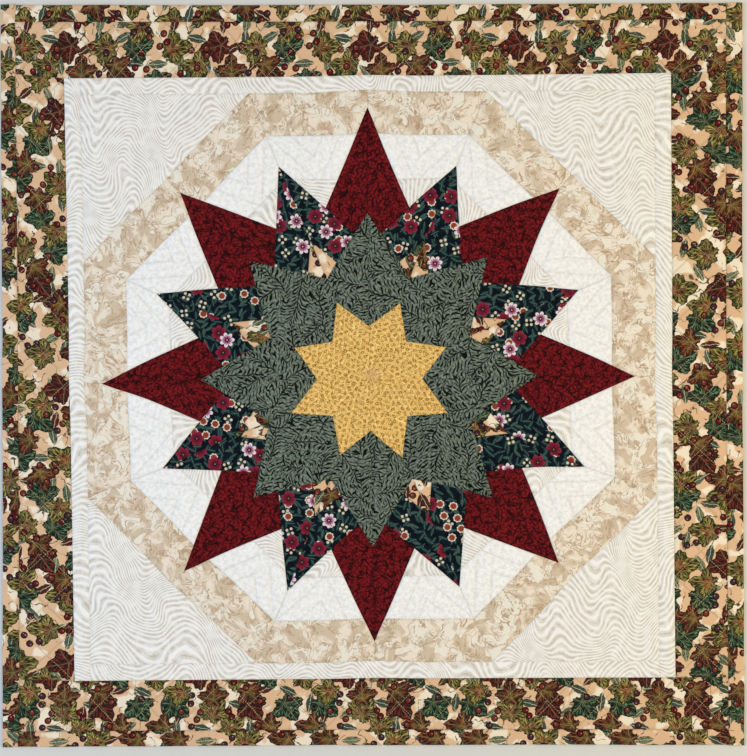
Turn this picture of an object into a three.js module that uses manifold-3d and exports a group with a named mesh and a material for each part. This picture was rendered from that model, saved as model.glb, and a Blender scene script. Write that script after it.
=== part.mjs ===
// A square star quilt for a wall or a lap, laid flat with its face up.
// One quilted sandwich of pieced top, batting and backing, bound at its edge with four folded strips.
// Millimetres, +Z up, origin under the middle of the quilt, +Y towards its top edge.
import * as THREE from "three";
import { mergeVertices } from "three/addons/utils/BufferGeometryUtils.js";
import Module from "manifold-3d";

// The quilt and its border, half sides measured from the middle.
const HALF = 457;
const BINDING = 20;
const SQUARE = 373;
const SQUARE_INNER = 353;
const BORDER_CELLS = 12;

// The octagon rings, as the distance from the middle to a flat side.
const TAN_OUTER = SQUARE_INNER;
const TAN_INNER = 300;
const WHITE_INNER = 246;

// The star. Axes lie every 45 degrees, and the lines between them half way.
const POINTS = 8;
const GOLD_TIP = 103;
const GOLD_NOTCH = 65;
const GREEN_TIP = 208;
const GREEN_NOTCH = 134;
const PEEK_TIP = 184;
const PEEK_SHARE = 0.76;
const NAVY_TIP = 283;
const NAVY_AIM = 166;
const RED_TIP = 330;
const RED_HALF_ANGLE = 23.6;

// Heights. A seam lies lower than the puffs on each side of it.
const SEAM_Z = 3.2;
const PUFF = 1.3;
const PUFF_REACH = 8;
const RIM_BELOW = 1.2;
const RING_SHARES = [0.16, 0.52];

// The binding, a folded strip round the rim.
const BINDING_TOP = 4.5;
const CLOTH = 0.9;
const GAP = 0.3;
const FOLD_STEPS = 6;
const FOLD_DEPTH = 1.5;
const BINDING_STEPS = 8;

// How finely seams are drawn: the longest straight step, and the grid that shared points settle on.
const STEP = 64;
const SETTLE = 0.02;

// How the piecing lies in its border: where each corner of the pale square sits, from its even place.
const SQUARE_CORNERS = [
  { right: -1, up: 1, dx: -5.8, dy: -7.0 },
  { right: 1, up: 1, dx: -4.7, dy: -2.2 },
  { right: -1, up: -1, dx: 5.3, dy: -2.7 },
  { right: 1, up: -1, dx: -1.0, dy: -0.2 },
];
const STAR_SHIFT = { dx: -2.1, dy: -0.8 };
const STAR_TURN = 0.0045;
const EDGE_BOW = 1.2;

// How far each tip of the star lies off its even place, to the right and up, anticlockwise from
// the point on the right.
const PULL_REACH = 40;
const PULLS = [
  { radius: RED_TIP, step: 0, by: [[-3, -1.2], [3.5, -1.4], [0.2, 4.5], [2.5, -1.7]] },
  { radius: RED_TIP, step: 4, by: [[-2.9, -4.7], [-1.1, -3.7], [0, 3], [-3, 2]] },
  { radius: NAVY_TIP, step: 0.5, by: [[-2.7, -2.3], [1.4, -0.3], [-0.8, 1], [-1, -1.6]] },
  { radius: NAVY_TIP, step: 4.5, by: [[2.3, -1.4], [1.4, -1.6], [-1.6, 1.5], [2.3, -4.1]] },
  { radius: GREEN_TIP, step: 0, by: [[0, 0], [0.7, 0.7], [0, -4], [0.7, -0.7]] },
  { radius: GREEN_TIP, step: 4, by: [[-1, 0], [0.7, 0.7], [0, -1], [2.8, -2.8]] },
  { radius: GOLD_TIP, step: 0.5, by: [[-0.1, -2.2], [-0.2, -2.9], [0.6, -1.3], [2.8, -0.8]] },
  { radius: GOLD_TIP, step: 4.5, by: [[-2.3, -2.8], [1, 0.1], [-0.6, -3.4], [0.6, -4.5]] },
];

const count = (length) => Array.from({ length }, (_, k) => k);
const clamp = (value, low, high) => Math.min(high, Math.max(low, value));
const between = (a, b, share) => a + (b - a) * share;

const tips = PULLS.flatMap(({ radius, step, by }) =>
  by.map(([dx, dy], k) => {
    const angle = (2 * Math.PI * (step + k)) / POINTS;
    return { x: radius * Math.cos(angle), y: radius * Math.sin(angle), dx, dy };
  }),
);

// Where a point of the even drawing lies in the real cloth.
function lie(x, y) {
  const u = clamp(x / SQUARE, -1, 1);
  const v = clamp(y / SQUARE, -1, 1);
  const reach = Math.max(Math.abs(x), Math.abs(y));
  const loose = clamp((HALF - reach) / (HALF - SQUARE), 0, 1);
  let dx = 0;
  let dy = 0;
  for (const corner of SQUARE_CORNERS) {
    const share = ((1 + corner.right * u) * (1 + corner.up * v)) / 4;
    dx += corner.dx * share * loose;
    dy += corner.dy * share * loose;
  }
  const near = clamp(1 - (reach / SQUARE) ** 2, 0, 1);
  dx += near * (STAR_SHIFT.dx - STAR_TURN * y);
  dy += near * (STAR_SHIFT.dy + STAR_TURN * x);
  for (const tip of tips) {
    const pull = Math.exp(-((x - tip.x) ** 2 + (y - tip.y) ** 2) / PULL_REACH ** 2);
    dx += tip.dx * pull;
    dy += tip.dy * pull;
  }
  dx -= EDGE_BOW * (x / HALF) * (1 - (y / HALF) ** 2);
  dy -= EDGE_BOW * (y / HALF) * (1 - (x / HALF) ** 2);
  return [x + dx, y + dy];
}

// A surface is a plain list of triangles, nine numbers each.
const settle = (value) => Math.round(value / SETTLE) * SETTLE;

function lay([x, y], z) {
  const [lx, ly] = lie(settle(x), settle(y));
  return [lx, ly, z];
}

function strip(surface, lower, upper) {
  lower.forEach((a, i) => {
    const b = lower[(i + 1) % lower.length];
    const c = upper[(i + 1) % upper.length];
    const d = upper[i];
    surface.push(...a, ...b, ...c, ...a, ...c, ...d);
  });
}

function cap(surface, ring, faceUp) {
  const outline = ring.map(([x, y]) => new THREE.Vector2(x, y));
  for (const [a, b, c] of THREE.ShapeUtils.triangulateShape(outline, [])) {
    const face = faceUp ? [a, b, c] : [a, c, b];
    surface.push(...face.flatMap((i) => ring[i]));
  }
}

function geometryOf(surface) {
  const geometry = new THREE.BufferGeometry();
  geometry.setAttribute("position", new THREE.Float32BufferAttribute(surface, 3));
  return mergeVertices(geometry, 1e-3);
}

// The drawing of one eighth of the star, from an axis to the line half way to the next.
const HALF_STEP = Math.PI / POINTS;
const onAxis = (radius) => [radius, 0];
const halfWay = (radius) => [radius * Math.cos(HALF_STEP), radius * Math.sin(HALF_STEP)];
const onSide = (distance) => [distance, distance * Math.tan(HALF_STEP)];
const along = (a, b, share) => [between(a[0], b[0], share), between(a[1], b[1], share)];

function meet(a, b, c, d) {
  const cross = (p, q) => p[0] * q[1] - p[1] * q[0];
  const ab = [b[0] - a[0], b[1] - a[1]];
  const cd = [d[0] - c[0], d[1] - c[1]];
  const ac = [c[0] - a[0], c[1] - a[1]];
  return along(a, b, cross(ac, cd) / cross(ab, cd));
}

function starPatches() {
  const redEdge = THREE.MathUtils.degToRad(RED_HALF_ANGLE);
  const middle = onAxis(0);
  const goldNotch = onAxis(GOLD_NOTCH);
  const goldTip = halfWay(GOLD_TIP);
  const greenTip = onAxis(GREEN_TIP);
  const greenNotch = halfWay(GREEN_NOTCH);
  const peekFoot = along(greenTip, greenNotch, PEEK_SHARE);
  const peekTip = halfWay(PEEK_TIP);
  const navyTip = halfWay(NAVY_TIP);
  const navyAim = onAxis(NAVY_AIM);
  const navyFoot = meet(navyTip, navyAim, greenTip, greenNotch);
  const redTip = onAxis(RED_TIP);
  const redAim = [RED_TIP - Math.cos(redEdge), Math.sin(redEdge)];
  const redFoot = meet(navyTip, navyAim, redTip, redAim);
  const onSeam = (a, b, distance) => meet(a, b, [distance, 0], [distance, 1]);
  const redAtSeam = onSeam(redTip, redAim, WHITE_INNER);
  const navyAtSeam = onSeam(navyTip, navyAim, WHITE_INNER);
  const redAtTan = onSeam(redTip, redAim, TAN_INNER);
  const tanInner = onSide(TAN_INNER);
  const tanOuter = onSide(TAN_OUTER);
  return [
    [middle, goldNotch, goldTip],
    [goldNotch, greenTip, navyFoot, peekFoot, greenNotch, goldTip],
    [peekFoot, peekTip, greenNotch],
    [navyFoot, redFoot, navyAtSeam, navyTip, peekTip, peekFoot],
    [greenTip, redTip, redAtTan, redAtSeam, redFoot, navyFoot],
    [redFoot, redAtSeam, navyAtSeam],
    [redAtSeam, redAtTan, tanInner, navyTip, navyAtSeam],
    [redAtTan, redTip, onAxis(TAN_OUTER), tanOuter, tanInner],
  ];
}

// A patch's outline with points added so that no straight step is longer than STEP.
function walk(corners) {
  return corners.flatMap((a, i) => {
    const b = corners[(i + 1) % corners.length];
    const steps = Math.ceil(Math.hypot(b[0] - a[0], b[1] - a[1]) / STEP - 0.01);
    return count(steps).map((k) => along(a, b, k / steps));
  });
}

function distanceInside(corners, point) {
  return Math.min(
    ...corners.map((a, i) => {
      const b = corners[(i + 1) % corners.length];
      const edge = [b[0] - a[0], b[1] - a[1]];
      const off = (point[1] - a[1]) * edge[0] - (point[0] - a[0]) * edge[1];
      return off / Math.hypot(...edge);
    }),
  );
}

// The nearest point to p on the line from a to b.
function nearest(p, [a, b]) {
  const edge = [b[0] - a[0], b[1] - a[1]];
  const length = edge[0] ** 2 + edge[1] ** 2;
  const share = length ? ((p[0] - a[0]) * edge[0] + (p[1] - a[1]) * edge[1]) / length : 0;
  return along(a, b, clamp(share, 0, 1));
}

// A quilted patch: low at its seams, and puffed up towards its spine.
function puff(surface, corners, spine) {
  const outline = walk(corners);
  const mean = [0, 1].map((k) => corners.reduce((sum, c) => sum + c[k], 0) / corners.length);
  const core = spine ?? [mean, mean];
  const rings = [outline.map((p) => lay(p, SEAM_Z))];
  for (const share of RING_SHARES) {
    rings.push(
      outline.map((p) => {
        const q = along(p, nearest(p, core), share);
        const rise = 1 - Math.exp(-distanceInside(corners, q) / PUFF_REACH);
        const [x, y] = lie(...q);
        return [x, y, SEAM_Z + PUFF * rise];
      }),
    );
  }
  strip(surface, rings[0], rings[1]);
  strip(surface, rings[1], rings[2]);
  cap(surface, rings[2], true);
}

// What repeats on each side of the square is drawn once, along the top, and turned.
const cellEdge = (k) => between(-SQUARE, SQUARE, k / BORDER_CELLS);

function turned([x, y], turn) {
  const [c, s] = [[1, 0], [0, 1], [-1, 0], [0, -1]][turn];
  return [x * c - y * s, x * s + y * c];
}

// A corner triangle of the pale square, and the strip along one side. The strips at the left and
// right (odd turns) run the full height, and the top and bottom ones fit between them.
function squarePatches(surface, turn) {
  const place = (points) => points.map((p) => turned(p, turn));
  const side = onSide(TAN_OUTER)[1];
  const slope = TAN_OUTER * Math.SQRT1_2;
  const corner = [[TAN_OUTER, side], [SQUARE_INNER, SQUARE_INNER], [side, TAN_OUTER], [slope, slope]];
  puff(surface, place(corner));
  const reach = turn % 2 ? SQUARE : SQUARE_INNER;
  const ends = turn % 2 ? [SQUARE] : [];
  const inner = [...ends.map((x) => -x), -SQUARE_INNER, -side, 0, side, SQUARE_INNER, ...ends];
  const outer = count(BORDER_CELLS - 1).map((k) => -cellEdge(k + 1));
  const edge = [
    ...inner.map((x) => [x, SQUARE_INNER]),
    ...[reach, ...outer, -reach].map((x) => [x, SQUARE]),
  ];
  const depth = (SQUARE_INNER + SQUARE) / 2;
  const core = SQUARE_INNER - (SQUARE - SQUARE_INNER) / 2;
  puff(surface, place(edge), place([[-core, depth], [core, depth]]));
}

// A leaf border, cross-quilted: each cell has both diagonals, with the puffs between them.
const FAR = HALF - BINDING;
const sideCells = count(BORDER_CELLS).map((k) => [cellEdge(k), cellEdge(k + 1)]);
const topCells = [[-FAR, -SQUARE], ...sideCells, [SQUARE, FAR]];

function borderRow(surface, cells, turn) {
  const place = (points) => points.map((p) => turned(p, turn));
  const heart = ([a, b]) => [(a + b) / 2, (SQUARE + FAR) / 2];
  cells.forEach((cell, k) => {
    const [a, b] = cell;
    const joins = [-SQUARE_INNER, SQUARE_INNER].filter((x) => turn % 2 === 0 && x > a && x < b);
    puff(surface, place([[a, SQUARE], ...joins.map((x) => [x, SQUARE]), [b, SQUARE], heart(cell)]));
    puff(surface, place([[b, FAR], [a, FAR], heart(cell)]));
    const next = cells[k + 1];
    const end = next ? [heart(next)] : [];
    puff(surface, place([[b, SQUARE], ...end, [b, FAR], heart(cell)]));
  });
  const first = cells[0];
  puff(surface, place([[first[0], SQUARE], heart(first), [first[0], FAR]]));
}

// The flat rim under the binding, the underside, and the step between them.
function rim(surface) {
  const stops = topCells.map(([, b]) => b).reverse();
  const seam = [0, 1, 2, 3].flatMap((turn) => stops.map((x) => turned([x, FAR], turn)));
  const loop = (reach, z) => seam.map(([x, y]) => lay([(x * reach) / FAR, (y * reach) / FAR], z));
  const edge = HALF - CLOTH - GAP;
  const step = FAR - GAP;
  strip(surface, loop(edge, SEAM_Z), loop(FAR, SEAM_Z));
  strip(surface, loop(edge, RIM_BELOW), loop(edge, SEAM_Z));
  strip(surface, loop(step, RIM_BELOW), loop(edge, RIM_BELOW));
  strip(surface, loop(step, 0), loop(step, RIM_BELOW));
  cap(surface, loop(step, 0), false);
}

function quiltBody() {
  const surface = [];
  for (const patch of starPatches()) {
    for (const k of count(POINTS)) {
      const angle = k * 2 * HALF_STEP;
      const turn = ([x, y]) => [
        x * Math.cos(angle) - y * Math.sin(angle),
        x * Math.sin(angle) + y * Math.cos(angle),
      ];
      const mirrored = patch.map(([x, y]) => [x, -y]).reverse();
      puff(surface, patch.map(turn));
      puff(surface, mirrored.map(turn));
    }
  }
  for (const turn of [0, 1, 2, 3]) {
    squarePatches(surface, turn);
    borderRow(surface, turn % 2 ? sideCells : topCells, turn);
  }
  rim(surface);
  return geometryOf(surface);
}

// A binding strip's section, as distance in from the quilt's edge and height: down the folded
// edge from the underside to the face, then back round the rim that it holds.
const LEG = BINDING - GAP;

function foldPoint(k) {
  const angle = Math.PI * (k / FOLD_STEPS - 0.5);
  return [FOLD_DEPTH * (1 - Math.cos(angle)), (BINDING_TOP / 2) * (1 + Math.sin(angle))];
}

const outerFace = [
  [LEG, 0],
  ...count(FOLD_STEPS + 1).map(foldPoint),
  [LEG - FOLD_DEPTH, BINDING_TOP],
  [LEG, SEAM_Z + GAP],
];
const pocket = [
  [CLOTH, SEAM_Z + GAP],
  [CLOTH, RIM_BELOW - GAP],
  [LEG, RIM_BELOW - GAP],
];

// A length of a section, laid along one side of the quilt between the stops.
function lengthOf(section, stops, turn) {
  const surface = [];
  const rings = stops.map((t) =>
    section.map(([s, z]) => {
      const [x, y] = lie(...turned([t, HALF - s], turn));
      return [x, y, z];
    }),
  );
  rings.slice(1).forEach((ring, k) => strip(surface, rings[k], ring));
  const outline = section.map(([s, z]) => new THREE.Vector2(s, z));
  for (const [a, b, c] of THREE.ShapeUtils.triangulateShape(outline, [])) {
    surface.push(...[a, b, c].flatMap((i) => rings[0][i]));
    surface.push(...[a, c, b].flatMap((i) => rings.at(-1)[i]));
  }
  return geometryOf(surface);
}

const wasm = await Module();
wasm.setup();

function solidOf(geometry) {
  return new wasm.Manifold(
    new wasm.Mesh({
      numProp: 3,
      vertProperties: new Float32Array(geometry.getAttribute("position").array),
      triVerts: new Uint32Array(geometry.index.array),
    }),
  );
}

function geometryFrom(solid) {
  const mesh = solid.getMesh();
  const geometry = new THREE.BufferGeometry();
  geometry.setAttribute("position", new THREE.BufferAttribute(mesh.vertProperties, 3));
  geometry.setIndex(new THREE.BufferAttribute(mesh.triVerts, 1));
  return geometry;
}

const middleStops = count(BINDING_STEPS + 1).map((k) => between(-SQUARE, SQUARE, k / BINDING_STEPS));
const bindingStops = [-FAR, ...middleStops, FAR];

// The side strips run the full height, and their ends are folded in and closed.
function sideBinding(turn) {
  const inner = HALF - CLOTH;
  const stops = [-HALF, -inner, ...bindingStops, inner, HALF];
  const long = solidOf(lengthOf([...outerFace, ...pocket], stops, turn));
  const lowEnd = solidOf(lengthOf(outerFace, [-HALF, -inner], turn));
  const highEnd = solidOf(lengthOf(outerFace, [inner, HALF], turn));
  return geometryFrom(long.add(lowEnd).add(highEnd));
}

// The top and bottom strips fit between the side strips.
function crossBinding(turn) {
  return lengthOf([...outerFace, ...pocket], bindingStops, turn);
}

const cloth = (color) => new THREE.MeshStandardMaterial({ color, roughness: 0.95, metalness: 0 });

function piece(name, geometry, color) {
  const mesh = new THREE.Mesh(geometry, cloth(color));
  mesh.name = name;
  mesh.geometry.computeVertexNormals();
  return mesh;
}

const quilt = new THREE.Group();
quilt.add(piece("quilt_body", quiltBody(), "#d9cbb4"));

const binding = new THREE.Group();
binding.add(piece("binding_top", crossBinding(0), "#7b6a45"));
binding.add(piece("binding_left", sideBinding(1), "#7b6a45"));
binding.add(piece("binding_bottom", crossBinding(2), "#7b6a45"));
binding.add(piece("binding_right", sideBinding(3), "#7b6a45"));
quilt.add(binding);

export default quilt;
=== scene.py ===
import math

import bmesh
import bpy
import numpy as np
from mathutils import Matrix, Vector


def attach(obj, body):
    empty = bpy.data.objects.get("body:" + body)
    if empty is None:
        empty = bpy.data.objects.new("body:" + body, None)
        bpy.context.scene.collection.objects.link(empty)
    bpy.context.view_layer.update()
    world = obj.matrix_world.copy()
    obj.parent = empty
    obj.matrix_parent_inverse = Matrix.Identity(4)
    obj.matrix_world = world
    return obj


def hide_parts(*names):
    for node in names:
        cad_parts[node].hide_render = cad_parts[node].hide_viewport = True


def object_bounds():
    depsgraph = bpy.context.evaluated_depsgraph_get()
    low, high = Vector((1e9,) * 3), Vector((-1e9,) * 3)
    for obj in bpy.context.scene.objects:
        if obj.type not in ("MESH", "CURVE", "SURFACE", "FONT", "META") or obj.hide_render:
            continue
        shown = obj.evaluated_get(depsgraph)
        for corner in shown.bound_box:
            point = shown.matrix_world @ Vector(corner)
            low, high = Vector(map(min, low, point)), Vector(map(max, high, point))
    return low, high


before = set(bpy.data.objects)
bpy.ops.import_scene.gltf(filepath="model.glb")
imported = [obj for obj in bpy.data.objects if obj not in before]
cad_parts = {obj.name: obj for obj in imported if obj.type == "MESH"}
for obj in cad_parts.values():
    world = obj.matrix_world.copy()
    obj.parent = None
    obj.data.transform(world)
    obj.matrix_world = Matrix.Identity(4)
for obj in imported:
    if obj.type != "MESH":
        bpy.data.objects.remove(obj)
cad_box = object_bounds()

MM = 0.001

# The quilt and its rings, as distances from the middle to a straight side.
HALF = cad_box[1][0]
BINDING = 20 * MM
FAR = HALF - BINDING
SQUARE = 373 * MM
SQUARE_INNER = 353 * MM
TAN_INNER = 300 * MM
WHITE_INNER = 246 * MM
BORDER_CELLS = 12

# The star: how far each ring of points reaches from the middle.
POINTS = 8
HALF_STEP = math.pi / POINTS
GOLD_TIP, GOLD_NOTCH = 103 * MM, 65 * MM
GREEN_TIP, GREEN_NOTCH = 208 * MM, 134 * MM
PEEK_TIP, PEEK_SHARE = 184 * MM, 0.76
NAVY_TIP, NAVY_AIM = 283 * MM, 166 * MM
RED_TIP, RED_HALF_ANGLE = 330 * MM, math.radians(23.6)

# How the piecing lies in its border: the shift of each corner of the pale square, then of the star.
SQUARE_CORNERS = [
    {"right": -1, "up": 1, "dx": -5.8 * MM, "dy": -7.0 * MM},
    {"right": 1, "up": 1, "dx": -4.7 * MM, "dy": -2.2 * MM},
    {"right": -1, "up": -1, "dx": 5.3 * MM, "dy": -2.7 * MM},
    {"right": 1, "up": -1, "dx": -1.0 * MM, "dy": -0.2 * MM},
]
STAR_DX, STAR_DY, STAR_TURN = -2.1 * MM, -0.8 * MM, 0.0045
EDGE_BOW = 1.2 * MM

# How far each tip of the star lies off its even place, in mm right and up, anticlockwise from the right.
PULL_REACH = 40 * MM
PULLS = [
    (RED_TIP, 0, [(-3, -1.2), (3.5, -1.4), (0.2, 4.5), (2.5, -1.7)]),
    (RED_TIP, 4, [(-2.9, -4.7), (-1.1, -3.7), (0, 3), (-3, 2)]),
    (NAVY_TIP, 0.5, [(-2.7, -2.3), (1.4, -0.3), (-0.8, 1), (-1, -1.6)]),
    (NAVY_TIP, 4.5, [(2.3, -1.4), (1.4, -1.6), (-1.6, 1.5), (2.3, -4.1)]),
    (GREEN_TIP, 0, [(0, 0), (0.7, 0.7), (0, -4), (0.7, -0.7)]),
    (GREEN_TIP, 4, [(-1, 0), (0.7, 0.7), (0, -1), (2.8, -2.8)]),
    (GOLD_TIP, 0.5, [(-0.1, -2.2), (-0.2, -2.9), (0.6, -1.3), (2.8, -0.8)]),
    (GOLD_TIP, 4.5, [(-2.3, -2.8), (1, 0.1), (-0.6, -3.4), (0.6, -4.5)]),
]

# The quilted layers, as heights above the floor.
SEAM_Z = 3.2 * MM
BATTING_Z = 0.8 * MM
BACKING_TOP = 0.7 * MM
ROLL, ROLL_REACH = 0.75 * MM, 1.5 * MM
CROWN, CROWN_REACH = 0.6 * MM, 14 * MM
PUCKER, PUCKER_REACH, PUCKER_SIZE = 0.22 * MM, 7 * MM, 6 * MM
STITCH_DEPTH, STITCH_WIDTH = 0.45 * MM, 1.1 * MM
UNEVEN, UNEVEN_SIZE = 0.35 * MM, 80 * MM
# Painted shade: how far it reaches from a seam, and how dark it is along the quilting lines.
SEAM_SHADE, STITCH_SHADE = 0.8 * MM, 0.5

# The binding cut across, as (how far out from its seam, height) in mm: above the seam, below its own top, and
# above the floor.
BINDING_RISE = [(0, 0), (0.5, 0.35), (1.5, 0.7)]
BINDING_FACE = [(4, 0.35), (8, 0.15), (12, 0.1), (15.5, 0.15)]
BINDING_BACK = [(12, 0), (6, 0), (0.6, 0.05)]
BINDING_TOP, BINDING_STEP = 4.4 * MM, 4 * MM
# How far the painted shade beside the binding's top seam reaches.
BINDING_SHADE = 0.9 * MM
RIPPLE, RIPPLE_SIZE = 0.3 * MM, 17 * MM
CRINKLE, CRINKLE_SIZE = 0.2 * MM, 6 * MM
EDGE_STRAY, EDGE_STRAY_SIZE = 0.5 * MM, 55 * MM
EASE_OUT, EASE_UP = 3 * MM, 2 * MM
CLOTH = 0.7 * MM
ROLL_IN = 2.2 * MM

# The back.
BACKING_LOW, DRAWN_UP, DRAWN_SIZE = 0.18 * MM, 0.14 * MM, 30 * MM
BACKING_CELL = 6 * MM

# The quilting in the white ring, and the stitches.
ECHOES, ECHO_REACH = [19 * MM, 38 * MM], 3
STITCH_PITCH, STITCH_LENGTH, STITCH_THICK, STITCH_RISE = 3.1 * MM, 3.0 * MM, 0.7 * MM, 0.45 * MM

# The surface of every cotton.
BUMP, THREAD_HEIGHT = 0.5, 0.1 * MM
ROUGH, ROUGH_RISE = 0.88, 0.06
SHEEN, SHEEN_ROUGH, SHINE = 0.02, 0.6, 0.08

# The floor, and the camera.
FLOOR_SIZE, FLOOR_DROP = 30, 0.3 * MM
CAMERA_HEIGHT, VIEW_WIDTH, SENSOR, CAMERA_ASKEW = 1.5, 0.9205, 36, 0.0026
CAMERA_RIGHT, CAMERA_UP = 1.2 * MM, -3.8 * MM

# The mesh: its cell, the lines cut beside each seam to hold its fold, how near two points count as one, the
# sharpest fold that still looks smooth, and how many random heights the cloth's unevenness has each way.
CELL = 2.6 * MM
SEAM_LINES = [0.5 * MM, 1.4 * MM, 3.0 * MM]
STITCH_LINES = [0.0, 0.9 * MM, 2.2 * MM]
SAME, CUT_NEAR = 0.01 * MM, 0.02 * MM
SMOOTH_BELOW = math.radians(50)
HEIGHTS = 64


def wander(x, y, size, seed):
    """Smooth unevenness from -1 to 1, about one rise and fall in each two sizes."""
    heights = np.random.default_rng(seed).uniform(-1, 1, (HEIGHTS, HEIGHTS))
    u, v = np.asarray(x) / size, np.asarray(y) / size
    i, j = np.floor(u).astype(int), np.floor(v).astype(int)
    fu, fv = u - i, v - j
    fu, fv = fu * fu * (3 - 2 * fu), fv * fv * (3 - 2 * fv)
    rows = []
    for up in (0, 1):
        left, right = (heights[(i + step) % HEIGHTS, (j + up) % HEIGHTS] for step in (0, 1))
        rows.append(left * (1 - fu) + right * fu)
    return rows[0] * (1 - fv) + rows[1] * fv


def lie(x, y):
    """Where points of the even drawing lie in the real cloth."""
    u, v = np.clip(x / SQUARE, -1, 1), np.clip(y / SQUARE, -1, 1)
    reach = np.maximum(abs(x), abs(y))
    loose = np.clip((HALF - reach) / (HALF - SQUARE), 0, 1)
    near = np.clip(1 - (reach / SQUARE) ** 2, 0, 1)
    dx = near * (STAR_DX - STAR_TURN * y) - EDGE_BOW * (x / HALF) * (1 - (y / HALF) ** 2)
    dy = near * (STAR_DY + STAR_TURN * x) - EDGE_BOW * (y / HALF) * (1 - (x / HALF) ** 2)
    for corner in SQUARE_CORNERS:
        share = (1 + corner["right"] * u) * (1 + corner["up"] * v) / 4 * loose
        dx = dx + corner["dx"] * share
        dy = dy + corner["dy"] * share
    for radius, step, tips in PULLS:
        for k, (right, up) in enumerate(tips):
            angle = 2 * HALF_STEP * (step + k)
            away = (x - radius * math.cos(angle)) ** 2 + (y - radius * math.sin(angle)) ** 2
            pull = np.exp(-away / PULL_REACH**2) * MM
            dx = dx + right * pull
            dy = dy + up * pull
    return x + dx, y + dy


def turned(points, angle):
    """Points turned about the quilt's middle."""
    c, s = math.cos(angle), math.sin(angle)
    return np.asarray(points) @ np.array([[c, s], [-s, c]])


def seam_pairs(outline):
    """The straight seams round an outline, as (start, end) pairs."""
    return list(zip(outline, np.roll(outline, -1, axis=0)))


class Panel:
    """A flat piece of the top in the even drawing: its mesh, its outline, and its quilting lines."""

    def __init__(self, outline, points, faces, quilting=()):
        self.outline, self.points, self.faces = outline, points, faces
        self.quilting = quilting
        self.rim = rim_of(faces)

    def relief(self):
        """Height over each point above the seams, and how much painted shade it gets near a seam or a
        quilting line, from 0 to 1.
        """
        x, y = self.points.T
        pucker = np.zeros(len(x))
        seam = np.full(len(x), np.inf)
        for k, (a, b) in enumerate(seam_pairs(self.outline)):
            run = (b - a) / np.linalg.norm(b - a)
            off = (y - a[1]) * run[0] - (x - a[0]) * run[1]
            along = (x - a[0]) * run[0] + (y - a[1]) * run[1]
            seam = np.minimum(seam, np.maximum(off, 0))
            pucker += wander(along, 40 * k * MM + 0.3 * off, PUCKER_SIZE, 5) * np.exp(-off / PUCKER_REACH)
        stitch = np.full(len(x), np.inf)
        for a, b in self.quilting:
            share = np.clip(((x - a[0]) * (b - a)[0] + (y - a[1]) * (b - a)[1]) / (b - a).dot(b - a), 0, 1)
            foot = a[:, None] + np.outer(b - a, share)
            stitch = np.minimum(stitch, np.hypot(x - foot[0], y - foot[1]))
        nearest = np.minimum(seam, stitch)
        lift = 1 - np.exp(-seam / ROLL_REACH)
        rise = ROLL * lift + CROWN * (1 - np.exp(-nearest / CROWN_REACH))
        rise += PUCKER * pucker * (1 - np.exp(-nearest / ROLL_REACH))
        rise -= STITCH_DEPTH * np.exp(-((stitch / STITCH_WIDTH) ** 2)) * lift
        # Painted shade: darkest near the seams and along the quilting lines, which darkens the cloth's
        # colour.
        dark = STITCH_SHADE * np.exp(-((stitch / STITCH_WIDTH) ** 2))
        return rise, np.maximum(np.exp(-seam / SEAM_SHADE), dark)


def cut_panel(outline, quilting=(), seams=None):
    """A panel cut from a fine grid, with lines beside its seams and its quilting to hold their folds."""
    outline = np.array(outline, float)
    quilting = [np.array(line, float) for line in quilting]
    low, high = outline.min(0), outline.max(0)
    steps = np.ceil((high - low) / CELL).astype(int)
    mesh = bmesh.new()
    bmesh.ops.create_grid(mesh, x_segments=int(steps[0]), y_segments=int(steps[1]), size=0.5)
    for vert in mesh.verts:
        vert.co.x = low[0] + (vert.co.x + 0.5) * (high[0] - low[0])
        vert.co.y = low[1] + (vert.co.y + 0.5) * (high[1] - low[1])
    for k, (a, b) in enumerate(seam_pairs(outline)):
        cut_line(mesh, a, b, 0.0, True)
        if seams is None or k in seams:
            for inset in SEAM_LINES:
                cut_line(mesh, a, b, inset, False)
    for a, b in quilting:
        for inset in sorted({side * gap for gap in STITCH_LINES for side in (-1, 1)}):
            cut_line(mesh, a, b, inset, False)
    bmesh.ops.triangulate(mesh, faces=mesh.faces[:])
    mesh.normal_update()
    mesh.verts.index_update()
    mesh.faces.ensure_lookup_table()
    points = np.array([vert.co[:2] for vert in mesh.verts])
    faces = np.array([[vert.index for vert in face.verts] for face in mesh.faces])
    if mesh.faces[0].normal.z < 0:
        faces = faces[:, ::-1]
    mesh.free()
    return Panel(outline, points, faces, quilting)


def cut_line(mesh, a, b, inset, trim):
    """Cuts a flat mesh along the line through a and b, moved inwards, and may trim what lies outside it."""
    run = (b - a) / np.linalg.norm(b - a)
    out = np.array([run[1], -run[0]])
    foot = a - out * inset
    bmesh.ops.bisect_plane(
        mesh,
        geom=mesh.verts[:] + mesh.edges[:] + mesh.faces[:],
        dist=CUT_NEAR,
        plane_co=(foot[0], foot[1], 0),
        plane_no=(out[0], out[1], 0),
        clear_outer=trim,
    )


def base_height(x, y):
    """The height of the seams, which lie a little unevenly on the batting."""
    inward = np.clip((FAR - np.maximum(abs(x), abs(y))) / SQUARE, 0, 1)
    return SEAM_Z + UNEVEN * wander(x, y, UNEVEN_SIZE, 3) * inward


def rim_of(faces):
    """The directed edges round a surface: those that only one of its faces has."""
    edges = np.concatenate([faces[:, [0, 1]], faces[:, [1, 2]], faces[:, [2, 0]]])
    reverse = {(b, a) for a, b in edges}
    return np.array([(a, b) for a, b in edges if (a, b) not in reverse])


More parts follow.
